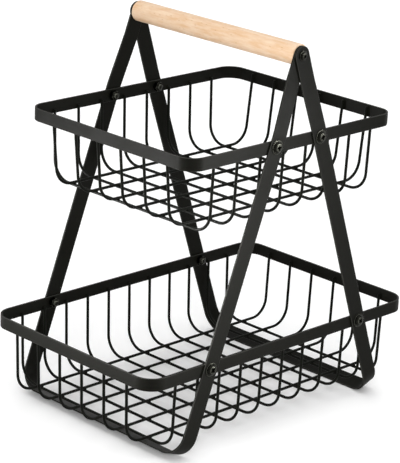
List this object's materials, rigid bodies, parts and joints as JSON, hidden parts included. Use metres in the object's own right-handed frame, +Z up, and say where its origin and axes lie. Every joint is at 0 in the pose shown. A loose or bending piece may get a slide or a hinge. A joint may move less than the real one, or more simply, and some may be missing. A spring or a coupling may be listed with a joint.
{
  "type": "tiered wire basket",
  "caption": "Tiered open wire storage basket held by leaning flat-steel leg frames that meet at the ends of a round wooden carrying handle.",
  "frame": {"origin": "on the floor, under the middle of the baskets, at the centre of the bounding box's bottom", "axes": "+X along the baskets' long side, +Y along the handle, +Z up"},
  "size_m": [0.4, 0.2632, 0.4262],
  "materials": {
    "powder_coated_steel": "matte black powder coat",
    "beech": "smooth, clear-oiled beech",
    "black_fastener": "black, low sheen"
  },
  "bodies": {
    "frame": {"left_leg_frame": "powder_coated_steel", "lower_cross_wire_1": "powder_coated_steel", "lower_cross_wire_10": "powder_coated_steel", "lower_cross_wire_11": "powder_coated_steel", "lower_cross_wire_2": "powder_coated_steel", "lower_cross_wire_3": "powder_coated_steel", "lower_cross_wire_4": "powder_coated_steel", "lower_cross_wire_5": "powder_coated_steel", "lower_cross_wire_6": "powder_coated_steel", "lower_cross_wire_7": "powder_coated_steel", "lower_cross_wire_8": "powder_coated_steel", "lower_cross_wire_9": "powder_coated_steel", "lower_long_wire_1": "powder_coated_steel", "lower_long_wire_2": "powder_coated_steel", "lower_long_wire_3": "powder_coated_steel", "lower_long_wire_4": "powder_coated_steel", "lower_long_wire_5": "powder_coated_steel", "lower_long_wire_6": "powder_coated_steel", "lower_rim": "powder_coated_steel", "right_leg_frame": "powder_coated_steel", "rim_nuts": "black_fastener", "rim_screws": "black_fastener", "upper_cross_wire_1": "powder_coated_steel", "upper_cross_wire_2": "powder_coated_steel", "upper_cross_wire_3": "powder_coated_steel", "upper_cross_wire_4": "powder_coated_steel", "upper_cross_wire_5": "powder_coated_steel", "upper_cross_wire_6": "powder_coated_steel", "upper_cross_wire_7": "powder_coated_steel", "upper_cross_wire_8": "powder_coated_steel", "upper_long_wire_1": "powder_coated_steel", "upper_long_wire_2": "powder_coated_steel", "upper_long_wire_3": "powder_coated_steel", "upper_long_wire_4": "powder_coated_steel", "upper_long_wire_5": "powder_coated_steel", "upper_long_wire_6": "powder_coated_steel", "upper_rim": "powder_coated_steel"},
    "handle": {"handle_dowel": "beech", "handle_screws": "black_fastener"}
  },
  "joints": [
    {"name": "handle_turn", "type": "hinge", "parent": "frame", "child": "handle", "pos_m": [0, 0, 0.41471], "axis": [0, 1, 0], "continuous": true}
  ]
}
